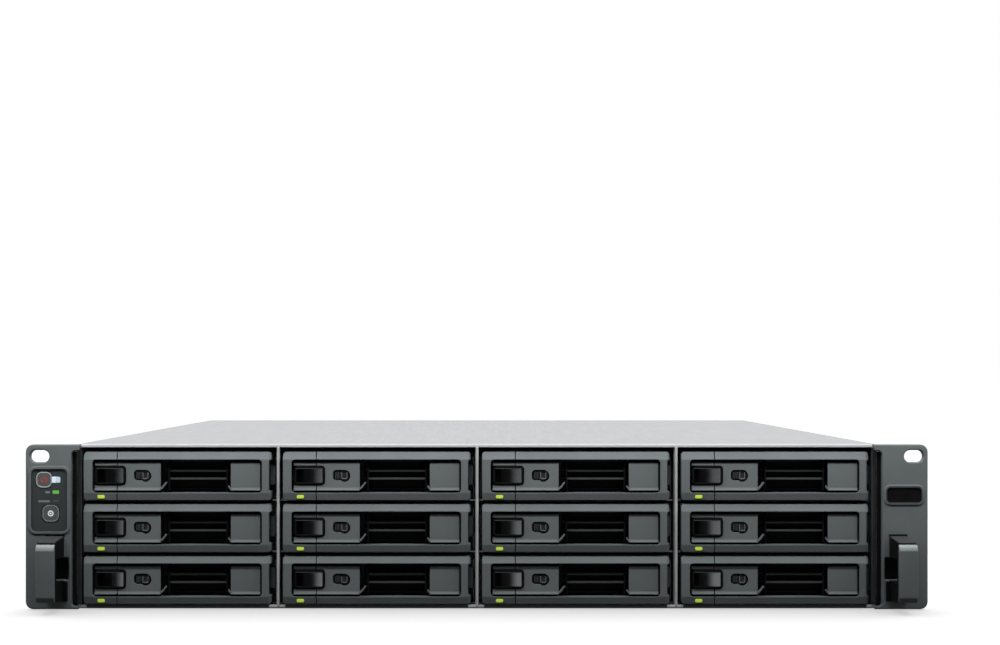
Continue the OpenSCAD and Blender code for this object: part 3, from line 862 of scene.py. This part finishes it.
EAR_R = 4.0
CAP_D = 5.0
WING_T = 2.4
SLOT = (233.9, 81.8, 10.5, 6.6)
PANEL_BOX = (-238.2, 41.6, -218.9, 75.0)
BADGE_BOX = (219.4, 57.2, 237.7, 65.0)
RING = 1.7
HANDLE_OUT = 32
HANDLE_X = (220.6, 230.3)
POWER = (-231.4, 69.2)
IDENTIFY = (-227.8, 51.2)
PANEL_FACE = FACE_Y + 0.25
ICON_Y = (FACE_Y - 0.05, FACE_Y + 1.4)


def slot_loop():
    """Rack slot of the ear."""
    x, z, length, height = SLOT
    box = (x - length / 2, z - height / 2, x + length / 2, z + height / 2)
    return rect(*box, height / 2 - 0.05, 8)


def ear_outline():
    """Right ear seen from the front, with the tabs that reach in over the body."""
    r, tab, top = EAR_R, EAR_TOP_IN, UNIT_H
    points = [(tab, 0.3), (tab + 0.3, 0)]
    points += arc(EAR_X - r, r, r, -90, 90, 6) + arc(EAR_X - r, top - r, r, 0, 90, 6)
    points += [(tab + 0.9, top), (tab, top - 0.6), (tab, top - 2.9), (tab + 0.6, top - 3.5)]
    points += arc(EAR_IN - 2.2, top - 5.7, 2.2, 90, -90, 6)
    return points + arc(EAR_IN - 1.6, 3.2, 1.6, 0, -90, 6) + [(tab, 1.6)]


def ear_cap(recess):
    """Moulded cap of the ear, with a hole for the fingers behind the handle and a recess."""
    fingers = rect(EAR_IN + 1.6, 15.8, 229, 27.5, 0.8)
    loops = [ear_outline(), slot_loop(), fingers, rect(*recess, 2.6)]
    return plate(loops, FACE_Y, FACE_Y + CAP_D, 0.8, rings=3)


def raised_ring(box, radius, collar_finish):
    """Moulded rim that stands proud of the ear round a recess: round outside, sharp inside."""
    inner = rect(*box, radius)
    rim = plate([rect(*grown(box, RING), radius + RING), inner], FACE_Y - 0.8, FACE_Y + 1.5, 0.8, rings=6)
    collar = plate([rect(*grown(box, 0.9), radius + 0.9), inner], FACE_Y - 0.78, FACE_Y + 1.5, 0.1)
    return [(rim, EAR), (collar, collar_finish)]


def ear_flange():
    """Steel flange behind the moulded cap, with the wing that is screwed to the chassis."""
    face = [rect(214.6, 4, EAR_X - 0.5, UNIT_H - 0.5, 3.6), slot_loop()]
    side = [rect(FACE_Y + EAR_D - 0.3, 4, FACE_Y + 69, 73, 2), disc(FACE_Y + 46, 39, 4)]
    flange = plate(face, FACE_Y + CAP_D - 0.3, FACE_Y + EAR_D, 0.2)
    return [flange, plate(side, SIDE_X, SIDE_X + WING_T, 0.2, plane="YZ")]


def inner_trim():
    """Dark strip between an ear and the outer trays, and a sheet behind the finger hole; the liner and that
    sheet are near-black painted shade.
    """
    y = FACE_Y
    strip = block((211.9, y + 6.0, 0.6), (215.3, y + 7.9, 86.1), 0.45)
    bead = block((211.9, y + 5.3, 1.8), (212.6, y + 6.3, 83.5), 0.25)
    liner = block((214.5, y + 4.0, 1.6), (217.2, y + 4.8, 84), 0.1)
    pocket = block((218.0, y + 4.2, 15.0), (230, y + 4.9, 28.2), 0.1)
    return [(strip, TRIM), (bead, PANEL), (liner, DARK), (pocket, DARK)]


def side_piece(name, parts, left, slot, replaces=()):
    """Places a piece made for the right side, mirrored if it is for the left."""
    if left:
        parts = [(mirrored(mesh), finish) for mesh, finish in parts]
    return place(name, joined(parts), "chassis", slot, replaces)


def side_plate(points, inset, bevel, rings=2):
    """Plate across the handle from its side view, as (back from the ear's face, up)."""
    outline = [(FACE_Y + y, z) for y, z in points]
    return plate([outline], HANDLE_X[0] + inset, HANDLE_X[1] - inset, bevel, "YZ", rings)


def handle_parts():
    """Pull handle: a moulded grip in front, its chamfer painted lighter as a highlight, on two dark arms."""
    front = -HANDLE_OUT
    x0, x1 = HANDLE_X
    toe = [(front, 9.3), (front + 0.9, 7.4), (front + 2.8, 6.1), (front + 3.4, 6.1)]
    grip = side_plate([(front, 33.35)] + toe + [(front + 3.4, 36.3), (front + 3.2, 36.3)], 0, 0.35, 3)
    core = block((x0 + 0.1, FACE_Y + front + 3.2, 6.2), (x1 - 0.1, FACE_Y + front + 8, 36.2), 0.3)
    crown = arc(front + 3.3, 33.2, 3.3, 90, 90, 6)
    # The chamfer's lighter grey is a painted highlight over its rounded shape.
    chamfer = side_plate(crown + [(front + 1.5, 33.2), (front + 3.3, 35.4)], 0.05, 0.15)
    top_arm = [(front + 3.6, 37.1), (front + 3.6, 30), (front + 9, 28.4), (1, 28.2), (1, 38.8)]
    low_arm = [(front + 3.6, 15.5), (front + 3.6, 6.0), (-4, 4.4), (1, 3.8), (1, 15.4)]
    brow = side_plate([(front + 3.7, 37.0), (front + 3.7, 37.6), (1, 39.2), (1, 38.6)], 0.3, 0.12)
    root_shadow = block((x0 - 0.2, FACE_Y - 0.12, 38.6), (x1, FACE_Y + 1, 40.1), 0.05)
    foot = block((218.7, FACE_Y - 2.0, 4.2), (220.8, FACE_Y + 1, 15.0), 0.6)
    # These near-black parts are dark plastic and also painted shade: the core between the arms, the arms, the
    # strip at the root and the foot.
    dark = [core, side_plate(top_arm, 0.1, 0.3), side_plate(low_arm, 0.1, 0.3), root_shadow, foot]
    return [(grip, HANDLE), (chamfer, HANDLE_HIGHLIGHT), (brow, ARM)] + dressed(dark, DARK)


def square(x, z, half, r):
    """Square with round corners about its middle."""
    return rect(x - half, z - half, x + half, z + half, r)


def push_parts(x, z, half, ring_finish, icon):
    """Push button: pale ring, darker cap and a raised icon."""
    y, wide = FACE_Y - 0.1, 0.75
    r = half - 1.25
    ring = plate([square(x, z, half, r), square(x, z, half - wide, r - wide)], y, y + 3.4, 0.2)
    cap = plate([square(x, z, half - 0.65, half - 1.85)], y + 0.15, y + 3.4, 0.25)
    return [(ring, ring_finish), (cap, CAP)] + icon


def arc_band(x, z, r, wide, start, end):
    """Raised band of an icon, along an arc."""
    turn = end - start
    outline = arc(x, z, r, start, turn, 20) + arc(x, z, r - wide, start, turn, 20)[::-1]
    return plate([outline], *ICON_Y, 0.05)


def build_ears():
    """Both ears, with their flanges, handles and inner trim."""
    mirrored_panel = (-PANEL_BOX[2], PANEL_BOX[1], -PANEL_BOX[0], PANEL_BOX[3])
    sides = (("left", mirrored_panel, 2.6, EAR), ("right", BADGE_BOX, 1.8, PANEL))
    for word, box, radius, collar_finish in sides:
        left = word == "left"
        cap = [(ear_cap(box), EAR)] + raised_ring(box, radius, collar_finish)
        side_piece(f"ear_cap_{word}", cap, left, "ear_plastic", [f"{word}_ear"])
        side_piece(f"ear_flange_{word}", dressed(ear_flange(), STEEL), left, "steel")
        side_piece(f"pull_{word}", handle_parts(), left, "handle_plastic", [f"{word}_handle"])
        side_piece(f"inner_trim_{word}", inner_trim(), left, "black_plastic")


def build_lamps():
    """Light pipes and plain marks of the control panel: box, finish, and how far each stands proud."""
    lamps = {
        "status_bar": ((-227.4, 67.6, -223.6, 70.9), STATUS_WHITE, 0.05),
        "status_tip": ((-225.1, 67.7, -222.7, 70.8), STATUS_BLUE, 0.12),
        "state_mark": ((-230.8, 61.9, -228.2, 63.1), GREY_MARK, 0.05),
        "state_light": ((-226.8, 61.7, -223.4, 63.5), LED_GREEN, 0.05),
        "alert_mark": ((-234.4, 57.1, -228.3, 58.2), GREY_MARK, 0.05),
        "alert_light": ((-226.8, 57.1, -223.4, 58.4), LED_OFF, 0.05),
    }
    for name, (box, finish, proud) in lamps.items():
        lens = plate([rect(*box, 0.4)], PANEL_FACE - proud, FACE_Y + 3.0, 0.05)
        place(name, joined([(lens, finish)]), "chassis", "panel_plastic")


def build_panel():
    """Control panel inlay with its lights, the two push buttons, and the gloss plate on the other ear."""
    holes = [square(x, z, half, half - 1.5) for (x, z), half in ((POWER, 4.6), (IDENTIFY, 4.85))]
    sheet = plate([rect(*grown(PANEL_BOX, 0.2), 2.6)] + holes, PANEL_FACE, FACE_Y + 4.9, 0.15)
    place("front_panel", joined([(sheet, PANEL)]), "chassis", "panel_plastic", ["control_panel"])
    build_lamps()

    x, z = POWER
    stroke = plate([rect(x - 0.38, z + 0.2, x + 0.38, z + 2.1, 0.15)], *ICON_Y, 0.05)
    icon = [arc_band(x, z - 0.1, 1.85, 0.75, 128, 412), stroke]
    power = joined(push_parts(x, z, 4.25, RING_PALE, dressed(icon, RED)))
    place("power_cap", power, "power_button", "panel_plastic", ["power_button"])

    x, z = IDENTIFY
    icon = [arc_band(x, z, 1.6, 0.65, 0, 360), plate([disc(x, z, 0.5, 16)], *ICON_Y, 0.05)]
    identify = joined(push_parts(x, z, 4.5, RING_DIM, dressed(icon, WHITE_ICON)))
    place("identify_cap", identify, "identify_button", "panel_plastic", ["identify_button"])

    badge = plate([rect(*grown(BADGE_BOX, 0.2), 2.2)], FACE_Y + 0.1, FACE_Y + 4.9, 0.3)
    place("badge", joined([(badge, BADGE)]), "chassis", "gloss_black", ["badge_plate"])


build_ears()
build_panel()


# ---------------- cover and cage edges

COVER_T = 1.2
COVER_SCREW_DROP = 7
FOOT_X = 210.6
FLOOR_EDGE_X = 209.2


def skirt(x):
    """Side of the cover, with its screw holes."""
    holes = [disc(y, UNIT_H - COVER_SCREW_DROP, 1.5, 20) for y in COVER_SCREWS]
    outline = rect(FACE_Y + EAR_D + 0.3, UNIT_H - 14, REAR_Y, UNIT_H - 0.4, 1.5)
    return plate([outline] + holes, x, x + COVER_T, 0.25, plane="YZ")


def build_cover():
    """Top cover: a folded sheet with side skirts and a hemmed front edge."""
    half, narrow, start = SIDE_X + COVER_T, EAR_TOP_IN - 0.3, FACE_Y + 5
    step = FACE_Y + EAR_D + 0.3
    outline = [(-half, REAR_Y), (-half, step), (-narrow, step), (-narrow, start + 1.0)]
    outline = [(-x, y) for x, y in outline] + outline[::-1]
    top = plate([outline[::-1]], UNIT_H - COVER_T, UNIT_H, 0.45, plane="XY", rings=3)
    cover = joined(dressed([top, skirt(-half), skirt(SIDE_X)], COVER))
    unlit_by_strip(place("cover_sheet", cover, "chassis", "cover_steel", ["top_cover"]))
    hem = block((-narrow, start, UNIT_H - 1.8), (narrow, start + 1.3, UNIT_H), 0.5, 3)
    place("cover_hem", joined([(hem, COVER)]), "chassis", "cover_steel", ["top_cover"])


def build_cage_edges():
    """Folded front edges of the bay dividers and of the floor, with their feet, and dark strips of painted
    shade between the feet.
    """
    y = lever_low.y

    def foot(x0, x1):
        return block((x0, y + 1.9, 0.2), (x1, y + 3.6, 1.9), 0.6, 3)

    edges, ends = [], [-FLOOR_EDGE_X]
    for k in (1, 2, 3):
        left, right = bay_origin(k).x, bay_origin(k + 1).x
        x = right - (right - left - BEZEL_W) / 2
        edges.append(block((x - 0.45, y + 1.6, 1.0), (x + 1.05, y + 6.0, UNIT_H - 1.4), 0.5, 3))
        edges.append(foot(x - 5.0, x + 4.4))
        ends += [x - 4.6, x + 4.0]
    ends.append(FLOOR_EDGE_X)
    edges += [foot(side - 1.7, side + 1.7) for side in (-FOOT_X, FOOT_X)]
    floor_edge = block((-FLOOR_EDGE_X, y + 2.6, 0.0), (FLOOR_EDGE_X, y + 4.2, 1.7), 0.4, 3)
    # Dark strips between the feet are painted shade under the lowest bezels.
    shade_strips = [block((a, y + 1.7, 0.15), (b, y + 3.0, 1.85), 0.3) for a, b in zip(ends[::2], ends[1::2])]
    place("divider_edges", joined(dressed(edges, EDGE_STEEL)), "chassis", "steel")
    place("floor_edge", joined([(floor_edge, EDGE_STEEL)]), "chassis", "steel")
    place("floor_shade_strips", joined(dressed(shade_strips, TRIM)), "chassis", "black_plastic")


build_cover()
build_cage_edges()


# ---------------- screws, rear sockets and power supplies

EAR_SCREWS = [(FACE_Y + y, z) for y in (30, 62) for z in (20, 58)]
REAR_SCREW_X = (-205, -110, -30, 60, 132)
SOCKET_Z = 9.4
LAN_X = (-60, -43, -26, -9)
LAN_SIZE = (11.9, 8.4)
USB_X = (-100, -83)
USB_SIZE = (13.4, 5.9)
USB_RISE = 7.5
CAGE_X = (22, 40)
CAGE_SIZE = (14.2, 9.6)
SLOT_COVERS = 4
SLOT_COVER_X = -190
SLOT_COVER_PITCH = 20.3
INLET = (8, 11, 32.6, 27.6)
SCREW_HEAD = [(0, -2.0), (1.4, -2.0), (1.4, 0), (2.6, 0), (2.6, 0.35), (2.2, 0.95), (1.3, 1.2), (0, 1.2)]


def screw(x, y, z, axis):
    """Pan-head screw with a cross recess; its head's underside is at the point given."""
    parts = [(spin(SCREW_HEAD, (x, y, z), axis, 24), ZINC)]
    # The cross recess is near-black painted shade.
    for across, up in ((1.25, 0.28), (0.28, 1.25)):
        if axis == "X":
            recess = block((x + 1.1, y - across, z - up), (x + 1.24, y + across, z + up), 0.04)
        else:
            recess = block((x - across, y + 1.1, z - up), (x + across, y + 1.24, z + up), 0.04)
        parts.append((recess, DARK))
    return parts


def build_screws():
    """Screws of the cover and the ears on both sides, and of the rear panel."""
    side = []
    for y in COVER_SCREWS:
        side += screw(SIDE_X + COVER_T, y, UNIT_H - COVER_SCREW_DROP, "X")
    for y, z in EAR_SCREWS:
        side += screw(SIDE_X + WING_T, y, z, "X")
    both = side + [(mirrored(mesh), finish) for mesh, finish in side]
    place("side_screws", joined(both), "chassis", "screw_steel", ["screws"])
    rear = []
    for x in REAR_SCREW_X:
        rear += screw(x, REAR_Y, UNIT_H - 6.5, "Y")
    for k in range(SLOT_COVERS):
        rear += screw(SLOT_COVER_X + 9.2 + k * SLOT_COVER_PITCH, REAR_Y + 0.8, 76, "Y")
    place("rear_screws", joined(rear), "chassis", "screw_steel")


def rear_block(x0, z0, x1, z1, deep, proud, bevel):
    """Block from deep inside the rear face to proud of it; a negative proud stays inside."""
    return block((x0, REAR_Y - deep, z0), (x1, REAR_Y + proud, z1), bevel)


def socket_rim(x, z, size, depth):
    """Folded metal rim of a socket, and a near-black wall of painted shade at its bottom."""
    w, h = size
    mouth = (x, z, x + w, z + h)
    outside = rect(x - 0.9, z - 0.7, x + w + 0.9, z + h + 0.7, 0.7)
    rim = plate([outside, rect(*grown(mouth, -0.2), 0.3)], REAR_Y - 0.3, REAR_Y + 0.45, 0.2)
    wall = rear_block(*grown(mouth, -0.1), depth, 0.8 - depth, 0.05)
    return [(rim, ZINC), (wall, DARK)]


def lan_socket(x):
    """Network socket with eight contacts and two lights."""
    w, h = LAN_SIZE
    low, z = SOCKET_Z, SOCKET_Z + h
    parts = socket_rim(x, low, LAN_SIZE, 14)
    for k in range(8):
        contact = rear_block(x + 1.9 + k * 1.05, z - 2.6, x + 2.4 + k * 1.05, z - 2.2, 12, -3, 0.1)
        parts.append((contact, GOLD))
    for left, finish in ((x + 0.6, LED_GREEN), (x + w - 2.8, LED_OFF)):
        parts.append((rear_block(left, low + 0.3, left + 2.2, low + 1.4, 1.5, 0.3, 0.15), finish))
    return parts


def usb_socket(x, z):
    """USB socket with its tongue and four contacts."""
    parts = socket_rim(x, z, USB_SIZE, 13)
    tongue = rear_block(x + 1.2, z + 2.4, x + USB_SIZE[0] - 1.2, z + 4.2, 12, -1.0, 0.2)
    parts.append((tongue, USB_BLUE))
    for k in range(4):
        contact = rear_block(x + 2.6 + k * 2.4, z + 2.2, x + 3.6 + k * 2.4, z + 2.5, 9, -1.6, 0.1)
        parts.append((contact, GOLD))
    return parts


def cage_socket(x):
    """Socket for a network module, with spring fingers along its top."""
    top = SOCKET_Z + CAGE_SIZE[1]
    parts = socket_rim(x, SOCKET_Z, CAGE_SIZE, 44)
    for k in range(4):
        finger = rear_block(x + 1.6 + k * 3, top + 0.5, x + 3.4 + k * 3, top + 1.0, 1, 0.9, 0.15)
        parts.append((finger, ZINC))
    return parts


def build_sockets():
    """Sockets in the rear panel, and the beads on its slot covers."""
    parts = []
    for x in LAN_X:
        parts += lan_socket(x)
    for x in USB_X:
        for z in (SOCKET_Z, SOCKET_Z + USB_RISE):
            parts += usb_socket(x, z)
    for x in CAGE_X:
        parts += cage_socket(x)
    place("rear_sockets", joined(parts), "chassis", "steel")
    covers = []
    for k in range(SLOT_COVERS):
        x = SLOT_COVER_X + k * SLOT_COVER_PITCH
        bead = [rect(x + 5.2, 22, x + 13.3, 66, 3.5), rect(x + 6.2, 23, x + 12.3, 65, 2.6)]
        covers.append(plate(bead, REAR_Y + 0.6, REAR_Y + 1.5, 0.3, rings=3))
    place("slot_cover_beads", joined(dressed(covers, STEEL)), "chassis", "steel")


def fan_blades(x, z, r, count=7):
    """Tilted blades of a small fan about a point behind the rear face."""
    blades = []
    tilt = Matrix.Rotation(math.radians(38), 4, "X")
    for k in range(count):
        blade = block((4, -0.5, -2.6), (r - 0.8, 0.5, 2.6), 0.3)
        turn = Matrix.Rotation(2 * math.pi * k / count, 4, "Y")
        blade.transform(Matrix.Translation(Vector((x, REAR_Y - 7, z)) * MM) @ turn @ tilt)
        blades.append(blade)
    return blades


def fan_guard(x, z, r):
    """Wire finger guard over an exhaust hole lined in near-black painted shade, with the small fan's hub and
    blades behind it.
    """
    y = REAR_Y
    wire = [plate([disc(x, z, size, 40), disc(x, z, size - 0.8, 40)], y - 0.5, y + 0.5, 0.25)
            for size in (r, r * 0.74, r * 0.48)]
    wire.append(block((x - r, y - 0.6, z - 0.4), (x + r, y, z + 0.4), 0.2))
    wire.append(block((x - 0.4, y - 0.6, z - r), (x + 0.4, y, z + r), 0.2))
    hub = spin([(0, y - 4), (4.4, y - 4), (4.9, y - 4.6), (4.9, y - 9), (0, y - 9)], (x, 0, z), "Y", 28)
    well = spin([(r + 0.4, y - 0.9), (r + 0.4, y - 14), (0, y - 14)], (x, 0, z), "Y", 40)
    return dressed(wire, ZINC) + dressed([hub] + fan_blades(x, z, r), BLACK) + [(well, DARK)]


def supply_case(low, high, inlet):
    """Case of a supply: its tube, rear face, perforated inner wall, fan and status light."""
    face = (low.x, low.z, high.x, high.z)
    x0, z0, x1 = face[:3]
    fan_x, fan_z, fan_r = x0 + 54, z0 + 20, 11.2
    latch_gap = rect(x0 + 66.6, z0 + 8.2, x1 - 0.9, z0 + 30.8, 0.5)
    openings = [rect(*inlet, 2.5), latch_gap, disc(fan_x, fan_z, fan_r, 40)]
    holes = [disc(x0 + 8 + a * 6.4, z0 + 7 + b * 6.2, 2.2, 12) for a in range(10) for b in range(5)]
    steel = [
        plate([rect(*face, 1.0), rect(*grown(face, -1), 0.6)], low.y, REAR_Y - 1.2, 0.2),
        plate([rect(*face, 1.2)] + openings, REAR_Y - 1.5, REAR_Y, 0.3),
        plate([rect(*grown(face, -0.8), 0.5)] + holes, low.y + 2, low.y + 3, 0.15)]
    lens = [(0, REAR_Y + 0.5), (0.9, REAR_Y + 0.5), (1.3, REAR_Y + 0.2), (1.3, REAR_Y - 1)]
    light = spin(lens, (x0 + 15, 0, z0 + 33.5), "Y", 20)
    return joined(dressed(steel, STEEL) + fan_guard(fan_x, fan_z, fan_r) + [(light, LED_GREEN)])


def supply_inlet(inlet):
    """Mains inlet: a moulded shroud with three pins."""
    shroud = plate([rect(*grown(inlet, -0.1), 2.4), rect(*grown(inlet, -1.6), 1.6)],
                   REAR_Y - 16.5, REAR_Y + 0.6, 0.3)
    # The back wall is near-black painted shade at the bottom of the shroud.
    back_wall = plate([rect(*grown(inlet, -0.6), 2)], REAR_Y - 16.8, REAR_Y - 15.6, 0.1)
    x, z = (inlet[0] + inlet[2]) / 2, (inlet[1] + inlet[3]) / 2
    pins = [rear_block(x + dx - 1, z + dz - 2, x + dx + 1, z + dz + 2, 16, -4, 0.3)
            for dx, dz in ((-7, -1.5), (0, 1.5), (7, -1.5))]
    return joined([(shroud, BLACK), (back_wall, DARK)] + dressed(pins, ZINC))


def supply_pull(low, high):
    """Pull handle of a supply."""
    z = low.z
    outside = rect(REAR_Y - 0.4, z + 2, high.y, z + 36.8, 5)
    inside = rect(REAR_Y + 1.2, z + 7, high.y - 6, z + 31.8, 3.4)
    return joined([(plate([outside, inside], low.x + 36, low.x + 42, 1.4, "YZ", 4), BLACK)])


def build_power_supply(i):
    """Hot-swap supply: a sheet-metal case with an inlet, a small fan, a pull handle and a status light."""
    name = number("power_supply", i)
    low, high = corners(name)
    inlet = (low.x + INLET[0], low.z + INLET[1], low.x + INLET[2], low.z + INLET[3])
    place(number("psu_case", i), supply_case(low, high, inlet), name, "steel", [name])
    place(number("psu_inlet", i), supply_inlet(inlet), name, "black_plastic")
    place(number("psu_pull", i), supply_pull(low, high), name, "black_plastic")


build_screws()
build_sockets()
for supply in (1, 2):
    build_power_supply(supply)
